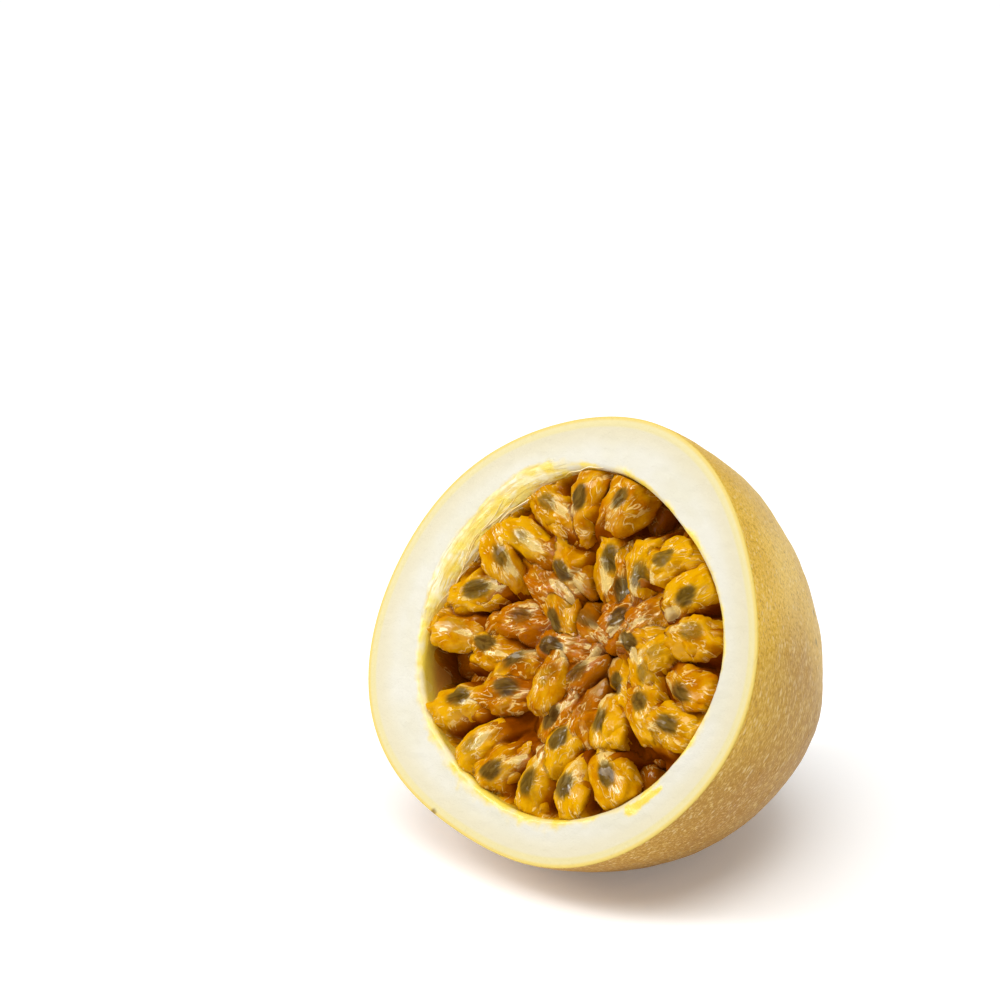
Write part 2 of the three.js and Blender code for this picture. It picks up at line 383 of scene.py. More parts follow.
def press_flat(points, softness=0.12):
    """Lifts world points onto the table: z becomes (z + sqrt(z^2 + softness^2)) / 2."""
    z = points[..., 2] * 1000
    points[..., 2] = (z + np.sqrt(z**2 + softness**2)) / 2000
    return points


def make_peel():
    """The outside up to the lip, the rounded lip, the cut edge, and the inside back to the pole.

    Each dark spot is painted as exp(-(distance / MARK_RADIUS)^2).
    """
    inside = FACE_RADIUS - PEEL
    outer = egg(FACE_RADIUS, HALF_LENGTH, np.linspace(0, np.arccos(LIP / HALF_LENGTH), PEEL_ROWS))
    bend = np.linspace(0, np.pi / 2, 6)[1:]
    corner = FACE_RADIUS - LIP + LIP * np.cos(bend), LIP * np.sin(bend) - LIP
    across = np.append(np.linspace(FACE_RADIUS - LIP, inside + 0.02, 7)[1:], inside)
    down = np.append(np.pi / 2 - 0.0005, np.linspace(np.pi / 2 - 0.02, 0, 21))
    inner = egg(inside, HALF_LENGTH - PEEL, down)
    r, z = map(np.concatenate, zip(outer, corner, (across, 0 * across), inner))
    grid = revolve(r, z, FACE_RADIUS, RIM_WAVES, PEEL_COLUMNS)
    on_corner, on_edge = fade(0, 1, bend / bend[-1]) * 0.15, np.linspace(0.2, 1, len(across))
    into = np.concatenate([0 * outer[0], on_corner, on_edge, 1 + 0 * inner[0]])
    outside = (np.arange(len(r)) < len(outer[0]))[:, None] * fade(0, -5, grid[..., 2])
    swell = outside * (0.14 * ripple(grid, 15, seed=1) + 0.035 * ripple(grid, 3.6, seed=2))
    grid += swell[..., None] * grid / np.linalg.norm(grid, axis=-1, keepdims=True)
    grids = press_flat(lean_back(grid))[None]
    # Painted shade mask: 1 low on the fruit near the table, 0 higher up, with a wavering edge.
    under = fade(52, 12, grids[..., 2] * 1000 + 6 * ripple(grid, 30, seed=3))
    away = [np.linalg.norm(grid - spot, axis=-1) / MARK_RADIUS for spot in MARKS]
    painted = {
        "into_skin": into[:, None],
        "under": under,
        "near_cut": fade(-13, -1, grid[..., 2]),
        "mark": sum(np.exp(-(distance**2)) for distance in away),
    }
    make_piece("peel_skin", grids, finish_skin(), "peel", "skin", **painted)


make_peel()

# %% [markdown]
# ## The rind
#
# The rind is a thick, moist sponge. On the cut it is a nearly white ring, cream against the skin,
# and stained by juice along the hollow, most of all below. A smear of juice lies on it apart. Its
# inner edge is crisp nearly all round, but at the upper left the lining is torn and slopes into the
# hollow, with yellow and white shreds drawn out along the edge. Loose strands would give the shreds
# too, at a high cost. A noise stretched along the edge, as colour, bump and wetness, is enough.
#
# The profile changes with the angle here, so the surface is worked out directly on the grid rather
# than revolved. A real rind lets a little light in, but subsurface scattering would darken the seam
# where it meets the skin, so it stays opaque.

# %% The rind's finish
def finish_rind():
    rind = Finish("spongy_rind", IOR=1.4, Coat_Roughness=0.2)
    even = rind.place()
    skin, stain, depth, smear = map(rind.painted, ("from_skin", "stain", "depth", "smear"))
    wander = rind.noise(even, 1.6, detail=3.0) - 0.5
    cloudy = rind.noise(even, 9.0, detail=3.0).step(0.35, 0.7)
    colour = rind.mix(cloudy * 0.6, "cac6b8", "c5bfa6")
    colour = rind.mix(skin.step(4.5, 0.5) * 0.8, colour, "c6bc9c")
    colour = rind.mix(skin.step(0.6, 0.0), colour, "cabe8c")

    # Juice: a patchy, ragged stain along the hollow, the smear, and the wall below the edge.
    wet = (stain + wander * 0.8 * stain.step(0.0, 0.25)).step(0.25, 0.85)
    wet = wet * (0.4 + rind.noise(even, 5.0, detail=2.0).step(0.36, 0.58) * 0.6)
    wet = wet + (smear + wander * 0.9 * smear.step(0.0, 0.3)).step(0.2, 0.8)
    wet = (wet + depth.step(0.2, 1.0) * stain * 0.5).clamp()
    juice = rind.mix(depth.step(1.6, 4.5), "dcc030", "c88a18")
    colour = rind.mix(wet * 0.94, colour, juice)
    # Painted shade: far down in the hollow the wall darkens to grey-brown.
    colour = rind.mix((depth + wander * 3).step(6.0, 18.0) * 0.8, colour, "a8814c")

    # Shreds: noise drawn out along the edge, white in some patches and yellow in others.
    drawn_out = rind.join(rind.painted("round") * 0.16, rind.painted("down_slope"), 0.0)
    shred = rind.noise(drawn_out, 0.8, detail=4.0, roughness=0.6, distortion=0.7)
    ragged = (rind.painted("shredded") + (shred - 0.5) * 1.2 + wander * 0.8).step(0.3, 1.0)
    white = rind.noise(even, 4.5, detail=2.0).step(0.44, 0.6)
    streaks = rind.mix(white, "dac458", "e0d8b4")
    streaks = rind.mix(shred.step(0.56, 0.4) * 0.8, streaks, "d2ac20")
    colour = rind.mix(ragged * 0.85, colour, streaks)
    wet = wet + ragged * shred.step(0.45, 0.6) * 0.6

    height = rind.noise(even, 0.45, detail=4.0, roughness=0.65) + rind.noise(even, 2.4) * 0.8
    height = height + ragged * shred * 2.0
    rind.set(Base_Color=colour, Normal=rind.bump(height, 0.11))
    rind.set(Roughness=0.6 - wet * 0.35, Coat_Weight=wet * 0.5)
    return rind.material


# %% The rind's surface
TORN, TORN_WIDTH = np.radians(150), 0.62  # the torn stretch of lining, in radians round the edge
EDGE, TORN_EDGE = 0.7, 4.2  # radius of the inner edge's rounding, and what the tear adds to it
TORN_DROP = 0.45  # how much less deep than wide the torn slope is
STAINED, STAINED_WIDTH = -1.85, 0.72  # where the juice spread furthest, in radians
SMEAR_START, SMEAR_WAY = np.array([22.7, -21.7]), np.array([4.2, 4.8])  # x and y on the cut
RIND_COLUMNS = 420


def bell(angle, middle, width):
    """exp(-((angle - middle) / width)^2), with the difference taken round the circle."""
    off = np.angle(np.exp(1j * (angle - middle)))
    return np.exp(-((off / width) ** 2))


def torn(angle):
    """1 in the middle of the torn stretch and 0 away from it."""
    return bell(angle, TORN, TORN_WIDTH)


def hollow_radius(angle, z):
    """The hollow's radius at a depth: its ellipse, HOLLOW_RADIUS sqrt(1 - (z / depth)^2), waved."""
    grow = HOLLOW_RADIUS + outline(HOLLOW_WAVES, angle)
    return grow * np.sqrt(np.clip(1 - (np.minimum(z, 0) / HOLLOW_DEPTH) ** 2, 0, 1))


def make_rind():
    """Outside, ring, rounded inner edge and wall, each as a radius and a height at every angle.

    The stain is exp(-distance from the hollow / reach) times the juice there, which is patchy. The
    smear is exp(-(a / (1.1 - 0.6 s))^2), with a the distance from its axis and s the part of the
    way along it, so that it narrows.
    """
    angle = steps_round(RIND_COLUMNS)[None, :]
    outside = (FACE_RADIUS - PEEL) * (1 + outline(RIM_WAVES, angle) / FACE_RADIUS)
    round_edge = np.stack([angle * 6, 0 * angle, 0 * angle], -1)
    edge = EDGE + TORN_EDGE * torn(angle) + 0.25 * ripple(round_edge, 3, seed=5)
    drop = edge * (1 - TORN_DROP * torn(angle))

    rise = np.append(np.linspace(0, np.pi / 2 - 0.02, 24), [np.pi / 2 - 0.0005, np.pi / 2])[:, None]
    outer = outside * np.sin(rise), -(HALF_LENGTH - PEEL) * np.cos(rise) + 0 * angle
    t = np.append([0.002], np.linspace(0, 1, 34)[1:])[:, None]
    inner_edge = hollow_radius(angle, 0) + edge
    ring = outside + (inner_edge - outside) * t, 0 * t * angle - 0.1 * np.sin(np.pi * t) ** 2
    bend = np.linspace(0, np.pi / 2, 16)[1:, None]
    corner = inner_edge - edge * np.sin(bend), -drop * (1 - np.cos(bend))
    fall = np.linspace(0, 1, 60)[1:, None]
    z = -drop - (HOLLOW_DEPTH - drop) * np.sin(fall * np.pi / 2)
    meet = hollow_radius(angle, 0) / hollow_radius(angle, -drop)
    wall = hollow_radius(angle, z) * meet ** (1 - fall), z

    r, z = map(np.concatenate, zip(outer, ring, corner, wall))
    r[-1] = 0
    grid = np.stack([r * np.cos(angle), r * np.sin(angle), z], -1)
    seen = (np.arange(len(r)) > len(rise))[:, None]
    rough = 0.16 * torn(angle) * ripple(grid, 1.6, seed=8) * fade(0, -1, z)
    rough = 0.05 * ripple(grid, 2.4, seed=7) + rough
    grid[..., 2] += seen * (rough - 0.06) * fade(outside, outside - 1.5, r)

    from_hollow = r - hollow_radius(angle, 0)
    patchy = 0.5 + 0.5 * ripple(grid, 9, seed=11)
    juicy = 0.35 + 0.9 * patchy + 0.55 * torn(angle) + 1.7 * bell(angle, STAINED, STAINED_WIDTH)
    juicy = np.maximum(juicy, 0.2)
    stain = np.exp(-np.maximum(from_hollow - edge * 0.6, 0) / (0.7 * juicy)) * np.clip(juicy, 0, 1)
    from_start = grid[..., :2] - SMEAR_START
    along = np.clip(from_start @ SMEAR_WAY / (SMEAR_WAY @ SMEAR_WAY), 0, 1)
    aside = np.linalg.norm(from_start - along[..., None] * SMEAR_WAY, axis=-1)
    shredded = fade(0.12, 0.5, torn(angle)) * fade(edge + 1.2, edge - 0.6, from_hollow)
    painted = {
        "from_skin": outside - r,
        "stain": seen * stain,
        "depth": -z * seen,
        "smear": seen * np.exp(-((aside / (1.1 - 0.6 * along)) ** 2)) * fade(-2, 0, z),
        "round": HOLLOW_RADIUS * angle + 0 * r,
        "down_slope": r + z,
        "shredded": seen * shredded,
    }
    make_piece("pith_rind", lean_back(grid)[None], finish_rind(), "pith", "rind", **painted)


make_rind()

# %% [markdown]
# ## Where the juice sacs lie
#
# Sacs grow inwards from the wall of the hollow. A row of them stands side by side along the wall,
# and the rest lie further in, each a golden angle further round. The solids are laid out by the
# same rule from the same sequence of draws, so each fine sac lies on its plain one. A second,
# deeper layer fills what shows between them.

# %% Laying out the sacs
HEART = np.array([3.5, 2.0])  # what the sacs grow towards
AT_WALL, INSIDE, DEEPER = 21, 27, 64  # how many
FROM_WALL = {"at wall": 5.4, "inside": 12.0, "deeper": 5.5}  # from the wall to a sac's middle
SAC_LENGTH, SAC_WIDTH, SAC_THICKNESS, SAC_TAPER = 12.2, 7.0, 6.2, 0.26
DEEPEST, SHALLOWEST = 8.8, 3.7
SLOPE, YAW, PITCH, ROLL, SIZE, SHIFT = 14, 38, 12, 22, 0.14, 1.2  # the dip, and how they vary
GOLDEN = np.pi * (3 - np.sqrt(5))
POCKETS = [  # empty places: the middle, and the radii along x, y and z
    ((7, 24.5, -5), (5.5, 4, 6)),
    ((-22.5, -9, -4), (3, 5, 5.5)),
    ((20.5, -16.5, -4), (3.2, 3.2, 5)),
    ((0, 9, -8), (2.6, 5, 5)),
    ((6.5, -4, -8), (2.6, 3.6, 5)),
]
CLEFTS = slice(3, None)  # the empty places in the middle


def draws(state=19):
    """Numbers from -1 to 1: each state is 1664525 times the last, plus 1013904223, mod 2^32."""
    while True:
        state = (state * 1664525 + 1013904223) % 2**32
        yield state / 2**31 - 1


def place_sac(draw, angle, out, from_wall, deeper=0.0):
    """A sac's middle, its three axes as columns, and its size, with x towards the heart.

    The middle lies on the line from the heart to the wall. Its depth falls from DEEPEST at the
    heart to SHALLOWEST at 0.8 of that line.
    """
    wall = HOLLOW_RADIUS + outline(HOLLOW_WAVES, angle)
    outward = wall * np.array([np.cos(angle), np.sin(angle)]) - HEART
    part = out * (1 - from_wall / np.hypot(*outward))
    depth = -DEEPEST + (DEEPEST - SHALLOWEST) * part / 0.8 - deeper
    middle = [*(HEART + outward * part), depth]
    spread = SHIFT, SHIFT, SHIFT / 2
    middle = np.array([value + scale * next(draw) for value, scale in zip(middle, spread)])
    yaw = np.arctan2(-outward[1], -outward[0]) + np.radians(YAW * next(draw))
    roll, pitch = np.radians(ROLL * next(draw)), np.radians(SLOPE + PITCH * next(draw))
    along = [np.cos(yaw) * np.cos(pitch), np.sin(yaw) * np.cos(pitch), -np.sin(pitch)]
    flat = np.array([-np.sin(yaw), np.cos(yaw), 0])
    up = np.cross(along, flat)
    sideways = flat * np.cos(roll) + up * np.sin(roll)
    turn = np.stack([along, sideways, np.cross(along, sideways)], -1)
    return middle, turn, 1 + SIZE * next(draw)


def in_pocket(point):
    """Whether ((x, y, z) - middle) / radii is shorter than 1 for any empty place."""
    return any((((point - np.array(at)) / radii) ** 2).sum() < 1 for at, radii in POCKETS)


def lay_out_sacs():
    """The sacs of the solids first, then the deeper ones."""
    draw = draws()
    upper = []
    for i in range(AT_WALL):
        upper.append(place_sac(draw, 2 * np.pi * i / AT_WALL, 1, FROM_WALL["at wall"]))
    for i in range(INSIDE):
        upper.append(place_sac(draw, i * GOLDEN, np.sqrt((i + 0.5) / INSIDE), FROM_WALL["inside"]))
    upper = [place for place in upper if not in_pocket(place[0])]
    deeper = []
    for i in range(DEEPER):
        out = np.sqrt((i + 0.5) / DEEPER)
        deeper.append(place_sac(draw, i * GOLDEN + 1, out, FROM_WALL["deeper"], 4.2 + 2.2 * out))
    middles, turns, sizes = zip(*upper, *deeper)
    return np.array(middles), np.array(turns), np.array(sizes), len(upper)


middles, turns, sizes, upper_count = lay_out_sacs()
print(f"{upper_count} sacs lie at the cut and {len(middles) - upper_count} below them")

# %% [markdown]
# ## The shape of a sac
#
# A sac alone is an egg. Packed together, sacs press each other flat where they meet, and bulge
# where they are free. A cloth or softbody simulation would give that, slowly and differently on
# each machine. Here it is geometry: on the ray from a sac's middle to a point of its skin, the
# neighbour's own egg is reached at the part t of the way for which both eggs, scaled by t, meet.
# That is a quadratic equation in t. The point stops at the smallest t, and a power mean of the
# candidates rounds the crease between two flat faces.

# %% Pressed sacs
RADII = np.array([SAC_LENGTH, SAC_WIDTH, SAC_THICKNESS]) / 2
FILL = 1.2  # how much larger a sac would be if nothing pressed it
NEIGHBOURS = 15  # how far apart two middles may be for their sacs to touch
SHARPNESS = 14  # of the crease between two pressed faces


def press(i, points):
    """The part of the way from sac i's middle at which each point meets its neighbours.

    For a neighbour j with axes scaled to unit radii, w is the way to i's middle and s the ray.
    |w + t s| = t gives t = 2c / (-b + sqrt(b^2 - 4ac)), with a = |s|^2 - 1, b = 2 w.s, c = |w|^2.
    With p the sharpness, the power mean is t = (1 + sum of t_j^-p)^(-1/p).
    """
    near = np.flatnonzero(np.linalg.norm(middles - middles[i], axis=1) < NEIGHBOURS)
    near = near[near != i]
    scale = turns[near] / (RADII * FILL * sizes[near, None])[:, None, :]
    w = np.einsum("nk,nkl->nl", middles[i] - middles[near], scale)
    s = np.einsum("pk,nkl->pnl", points - middles[i], scale)
    a, b, c = (s**2).sum(-1) - 1, 2 * (w * s).sum(-1), (w**2).sum(-1)
    inside = b**2 - 4 * a * c
    below = np.sqrt(np.maximum(inside, 0)) - b
    met = np.where((inside > 0) & (below > 1e-6), 2 * c / np.maximum(below, 1e-6), 9.0)
    return (1 + (met**-SHARPNESS).sum(-1)) ** (-1 / SHARPNESS)


def egg_ball(rows, columns, taper):
    """A unit sphere's grid: x = -cos(along), y and z on a circle of radius sin(along) taper(x)."""
    along, around = np.linspace(0, np.pi, rows)[:, None], steps_round(columns)[None, :]
    x = -np.cos(along) + 0 * around
    thin = np.sin(along) * taper(x)
    return np.stack([x, thin * np.cos(around), thin * np.sin(around)], -1)


def sac_forms(chosen, rows, columns):
    """Grids of pressed sacs, and how far each point was pressed back.

    An egg's point is R (x, y (1 - taper x), z (1 - taper x)) on the unit sphere's x, y, z. After
    pressing, a wrinkle moves it along its ray, and the wall of the hollow holds it in.
    """
    ball = egg_ball(rows, columns, lambda x: 1 - SAC_TAPER * x).reshape(-1, 3)
    grids, pressed = [], []
    for i in chosen:
        own = flatten(ball, i) * RADII * FILL * sizes[i]
        points = own @ turns[i].T + middles[i]
        part = press(i, points)
        wrinkle = 0.05 * ripple(own, 3.2, 100 + i) - 0.05 * np.abs(ripple(own, 2.0, 300 + i))
        wrinkle = wrinkle + 0.01
        points = middles[i] + (points - middles[i]) * (part * 0.985 + wrinkle)[:, None]
        grids.append(hold_in(points).reshape(rows, columns, 3))
        pressed.append(1 - part.reshape(rows, columns))
    return np.array(grids), np.array(pressed)


def flatten(ball, i, facets=9):
    """Cuts a unit ball softly with planes: p becomes p - n (p.n - soft smaller of p.n and d)."""
    draw = np.random.default_rng(500 + i)
    ways = draw.normal(size=(facets, 3)) * [0.6, 1, 1]
    ways /= np.linalg.norm(ways, axis=1)[:, None]
    for way, distance in zip(ways, draw.uniform(0.74, 0.95, facets)):
        height = ball @ way
        ball = ball - way * (height - soft_min(height, distance, 0.07))[:, None]
    return ball


def hold_in(points):
    """Keeps points inside the wall and just below the cut, softly."""
    x, y, z = points.T
    r = np.hypot(x, y)
    held = soft_min(r, hollow_radius(np.arctan2(y, x), z) - 0.1, 0.8)
    points[:, :2] *= (held / np.maximum(r, 1e-6))[:, None]
    points[:, 2] = soft_min(z, 0.5, 0.6)
    return points


# %% [markdown]
# ## The juice
#
# The sacs are amber gel in a thin wet skin. Gel takes blue out of the light first, so it looks
# yellow where it is thin and deep orange where it is thick. Subsurface scattering would show that
# in a large form, but these folds are a millimetre thick and it turns their edges green. So the
# depth is painted: yellow on the backs, orange in the creases, brown far down, and these darker
# creases and depths are painted shade as well. Loose skin gives pale broken patches that are partly
# painted highlight, and thin bright lines along its folds are painted highlights. The seed is a
# dark, streaked shape on the skin above it, and is modelled inside as well. Wetness is a coat whose
# weight varies, since an even coat would whiten everything.

# %% The juice's finish
SEED_LENGTH, SEED_WIDTH, SEED_THICKNESS = 5.4, 3.6, 2.6
TOWARDS_WALL = 1.6  # from a sac's middle to its seed's


def finish_juice():
    juice = Finish("wet_juice", IOR=1.42, Specular_IOR_Level=0.0, Coat_Roughness=0.03, Coat_IOR=1.5)
    even = juice.place()
    keys = "seed", "crease", "tone", "slack", "depth"
    seed, crease, tone, slack, depth = map(juice.painted, keys)
    own = juice.join(juice.painted("along") * 0.4, juice.painted("across"), 0.0)
    cloud = juice.noise(even, 2.6, detail=3.0)
    streak = juice.noise(own, 1.1, detail=4.0, roughness=0.6, distortion=0.8)
    crumpled = juice.noise(own, 1.5, detail=5.0, roughness=0.62, distortion=1.0)

    # Gel: amber to golden; darker in the creases as painted shade, and deeper orange where it is
    # thick.
    golden = (cloud * 0.7 + tone * 0.5 + streak * 0.35).step(0.55, 1.02)
    colour = juice.mix(golden, "a45a00", "cb9402")
    colour = juice.mix(crease.step(0.14, 0.5) * 0.85, colour, "8c4600")
    colour = juice.mix(crease.step(0.5, 0.95), colour, "763600")

    # Pale, crumpled patches, partly loose skin and partly painted highlight, then the seed, then a
    # bright rim of painted highlight round each patch.
    broken = juice.noise(own, 2.2, detail=4.0, roughness=0.6).step(0.42, 0.56)
    pale = (slack + (crumpled - 0.5) * 1.1).step(0.2, 0.6) * broken
    colour = juice.mix(pale * 0.7, colour, "d4be78")
    shade = (seed + (streak - 0.5) * 0.6).step(0.1, 0.9)
    shell = juice.mix(crumpled.step(0.4, 0.6), "382a10", "5c481e")
    colour = juice.mix(shade * 0.9, colour, shell)
    # Painted highlight: a bright rim round each pale patch.
    rim = ((pale - 0.6) * (pale - 0.6)).step(0.03, 0.0) * seed.step(1.0, 0.3)
    colour = juice.mix(rim * 0.4, colour, "f0dc90")

    # Painted highlights along folds: thin bright lines where a noise crosses its middle value,
    # kept off seeds and creases.
    off = juice.noise(own, 1.7, detail=3.0, distortion=1.5) - 0.5
    line = (off * off).step(0.0012, 0.0) * juice.noise(even, 2.0).step(0.42, 0.58)
    line = line * (crease + seed).step(0.7, 0.3)
    colour = juice.mix(line * 0.6, colour, "f4d27c")
    # Painted shade: brown far down, and in the clefts.
    colour = juice.mix(depth.step(5.5, 10.0) * 0.7, colour, "905200")

    wet = (pale + line + (cloud - 0.46) * 2.0).clamp() * crease.step(1.0, 0.5)
    height = streak + juice.noise(even, 3.0, distortion=0.6) + line * 0.4
    juice.set(Base_Color=colour, Normal=juice.bump(height, 0.18))
    juice.set(Roughness=0.1 + crease * 0.3, Coat_Weight=wet)
    return juice.material


JUICE = finish_juice()


def paint_sac(points, i):
    """What the juice's finish needs at points of sac number i.

    With e the distance from the seed's middle in seed radii, the seed's shade is
    strength / (1 + exp((e - 1) / softness)), on the upper side alone. The patch of loose skin and
    painted highlight is a narrow bell along the sac's back. The tone grows towards the wall. The
    clefts count as deeper, so that the finish darkens them as painted shade.
    """
    own = np.einsum("...k,...kl->...l", points - middles[i], turns[i])
    along, across, up = np.moveaxis(own, -1, 0)
    chances = np.random.default_rng(5).uniform(0, 1, (7, len(middles)))
    size, softness, strength, aside, forth, amount, tint = chances[:, i]
    e = np.hypot((along + TOWARDS_WALL) / (SEED_LENGTH / 2), across / (SEED_WIDTH / 2))
    e = e / (0.77 + 0.18 * size)
    shade = (1 - 0.65 * strength**2) * fade(-1.0, 0.6, up)
    seed = shade / (1 + np.exp((e - 1) / (0.08 + 0.14 * softness)))
    # Where loose skin and painted highlight lie: a bell on the sac's back.
    patch = ((along + 0.5 - 3.7 * forth) / 3.2) ** 2
    patch = patch + ((across + 1.3 - 2.6 * aside) / 1.3) ** 2
    slack = np.exp(-patch) * (0.5 + 0.5 * amount) * fade(0.5, 1.8, up)
    depth = -points[..., 2]
    # The clefts count as deeper, so that the finish darkens them as painted shade.
    for at, radii in POCKETS[CLEFTS]:
        e2 = (((points[..., :2] - at[:2]) / radii[:2]) ** 2).sum(-1)
        depth = depth + 5.5 * np.exp(-(e2**2) * 0.5)
    tone = 0.6 * tint + 0.4 * fade(5, 23, np.hypot(points[..., 0], points[..., 1]))
    across = across + 40 * tint  # so that the streaks differ from sac to sac
    return dict(seed=seed, slack=slack, tone=tone, depth=depth, along=along, across=across)


def make_sacs():
    upper, deeper = range(upper_count), range(upper_count, len(middles))
    layers = ("juice_sacs_upper", upper, 30, 44), ("juice_sacs_deeper", deeper, 18, 26)
    for name, chosen, rows, columns in layers:
        grids, pressed = sac_forms(chosen, rows, columns)
        painted = paint_sac(grids, np.array(chosen)[:, None, None])
        # Deeper sacs: no pale patches of painted highlight, and a darker tone as painted shade.
        if chosen is deeper:  # no slack skin, hardly a seed to be seen, and a darker tone
            painted.update(slack=0.0, seed=painted["seed"] * 0.2, tone=-0.5)
        # crease: how far each point was pressed back, which the finish darkens as painted shade.
        make_piece(name, lean_back(grids), JUICE, "juice_sacs", "juice", crease=pressed, **painted)


make_sacs()

# %% [markdown]
# Juice runs out of the cut sacs, and their burst skins cling together in one wet sheet that lies
# close over them. The sheet is a height over the cut: each sac gives a mound, the mounds run
# together through a smooth maximum, and a rim climbs the wall. It sinks in the empty places, where
# the sacs themselves show, and folds run lengthwise over every sac. A cloth dropped over the sacs
# would crease as well, but a height needs no simulation and comes out the same on every machine.

# %% The film of juice
def sheet_height(x, y, from_wall):
    """The sheet's height, and the number of the sac that is highest at each point.

    For each sac h = middle + slope u + half thickness (1 - e^2.5), where u and v are measured
    along and across it and e^2 = (u / mound length)^2 + (v / mound width)^2. The mounds join as
    k log(sum of exp(h / k)), along with a rim that climbs the wall, and each empty place pulls
    the sheet down by a bell.
    """
    blend, low = 0.5, -11.0
    mound_length, mound_width = SAC_LENGTH * 0.56, SAC_WIDTH * 0.47
    near = slice(0, upper_count)
    along = turns[near, :2, 0] / np.linalg.norm(turns[near, :2, 0], axis=1)[:, None]
    away = np.stack([x, y], -1)[..., None, :] - middles[near, :2]
    u = (away * along).sum(-1)
    v = away[..., 0] * along[:, 1] - away[..., 1] * along[:, 0]
    e = np.hypot(u / mound_length, v / mound_width)
    slope = turns[near, 2, 0] / np.hypot(turns[near, 0, 0], turns[near, 1, 0])
    h = middles[near, 2] + slope * u + SAC_THICKNESS / 2 * (1 - e**2.5)
    climb = -1.5 - 5 * (1 - np.exp(-from_wall / 1.5))
    level = blend * np.log(np.exp(np.maximum(h, low) / blend).sum(-1) + np.exp(climb / blend))
    for at, radii in POCKETS:
        e2 = ((x - at[0]) / radii[0]) ** 2 + ((y - at[1]) / radii[1]) ** 2
        level = level + (low - level) * np.exp(-(e2**2) * 0.7)
    return level, h.argmax(-1)


def make_film():
    """A thin closed sheet: out along the height from the middle to the wall, and back below it.

    The folds are -0.45 |ripple|, of a ripple that is stretched along the highest sac and differs
    from sac to sac, with finer ripples added.
    """
    columns, rows, thick, lift = 500, 150, 1.2, 0.9
    out = np.append(np.linspace(0, 1, rows), np.linspace(1, 0, 22)[1:])[:, None]
    below = (np.arange(len(out)) >= rows)[:, None]
    angle = steps_round(columns)
    reach = hollow_radius(angle, 0) + 0.35
    x, y = out * reach * np.cos(angle), out * reach * np.sin(angle)
    flat = np.stack([x, y, 0 * x], -1)
    warp = 0.7 * ripple(flat, 4.5, seed=51), 0.7 * ripple(flat, 4.5, seed=52)
    level, top_sac = sheet_height(x + warp[0], y + warp[1], (1 - out) * reach)
    from_sac = np.stack([x, y, level], -1) - middles[top_sac]
    own = np.einsum("...k,...kl->...l", from_sac, turns[top_sac])
    lengthwise = np.stack([own[..., 0] * 0.3, own[..., 1], 7.0 * top_sac], -1)
    fold = -0.45 * np.abs(ripple(lengthwise, 2.2, seed=35))
    fold = fold - 0.04 * np.abs(ripple(flat, 2.2, seed=32)) + 0.03 * ripple(flat, 2.5, seed=31)
    fold = fold - 0.03 * np.abs(ripple(flat, 1.3, seed=33)) + 0.03 * ripple(flat, 0.8, seed=34)
    z = np.minimum(level + lift + fold, 0.6) - fade(0.98, 1, out)
    z = z - thick * below * fade(1, 0.97, out)
    grid = np.stack([x, y, z], -1)
    painted = paint_sac(grid, top_sac)
    # How far the sheet lies below its sac's top: the creases that the finish darkens as painted
    # shade.
    sunk = (middles[top_sac, 2] + SAC_THICKNESS / 2 * sizes[top_sac] - z + 0.3) / 3.2
    painted["crease"] = np.clip(sunk, 0, 1) * (1 - 0.75 * fade(0.9, 1, out))
    painted["seed"] *= 1 - fade(0.9, 0.97, out)
    make_piece("juice_film", lean_back(grid)[None], JUICE, "juice_sacs", "juice", **painted)


make_film()

# %% [markdown]
# ## The seeds
#
# A seed is a flat, pointed oval with a pitted dark shell. One lies in the outer part of each sac,
# just under its skin. Copies of one object would do, but as one array they are a single piece.

# %% The seeds
SEED_FIT, UNDER_SKIN = 0.92, 0.35  # how much smaller than its shade a seed is, and how deep it lies


def finish_seed():
    seed = Finish("dark_seed", Roughness=0.4, Coat_Weight=0.4, Coat_Roughness=0.15)
    pits = seed.cells(seed.place(), 0.55).step(0.1, 0.5)
    seed.set(Base_Color=seed.mix(pits, "1c130b", "3d2c1a"), Normal=seed.bump(pits, 0.12))
    return seed.material


def make_seeds():
    """An egg drawn out to a point at its inner end, laid just under the skin of every upper sac."""
    ball = egg_ball(15, 20, lambda x: 1 - 0.25 * fade(0, 1, x))
    ball *= np.array([SEED_LENGTH, SEED_WIDTH, SEED_THICKNESS]) / 2 * SEED_FIT
    grids = []
    for i in range(upper_count):
        lift = SAC_THICKNESS / 2 * sizes[i] - SEED_THICKNESS / 2 - UNDER_SKIN
        grids.append((ball + [-TOWARDS_WALL, 0, lift]) @ turns[i].T + middles[i])
    make_piece("seeds_dark", lean_back(np.array(grids)), finish_seed(), "seeds", "seed")


make_seeds()

# %% [markdown]
# ## The stem
#
# At the far end the dried stub of the stem is left, ribbed and broken off, with shrivelled lobes
# round its foot. The stub is a rod whose radius waves round it; each lobe is a thin leaf of a few
# millimetres, curled and creased. Sculpting would serve one fruit; waves serve any size of it.

# %% The stub and its lobes
STUB_FOOT, STUB_END, STUB_LENGTH, STUB_RIBS = 2.0, 1.6, 4.2, 6  # radii, length, number of ribs
LOBES = 7


def finish_stem():
    stem = Finish("dry_stalk", Roughness=0.85)
    along, even = stem.place(stretch=(1, 1, 4)), stem.place()
    colour = stem.mix(stem.noise(along, 0.5, detail=4.0).step(0.35, 0.65), "3a2a1e", "8a7049")
    colour = stem.mix(stem.painted("tip") * 0.8, colour, "b59c68")
    height = stem.noise(along, 0.35, detail=4.0) + stem.noise(even, 0.9)
    stem.set(Base_Color=colour, Normal=stem.bump(height, 0.25))
    return stem.material


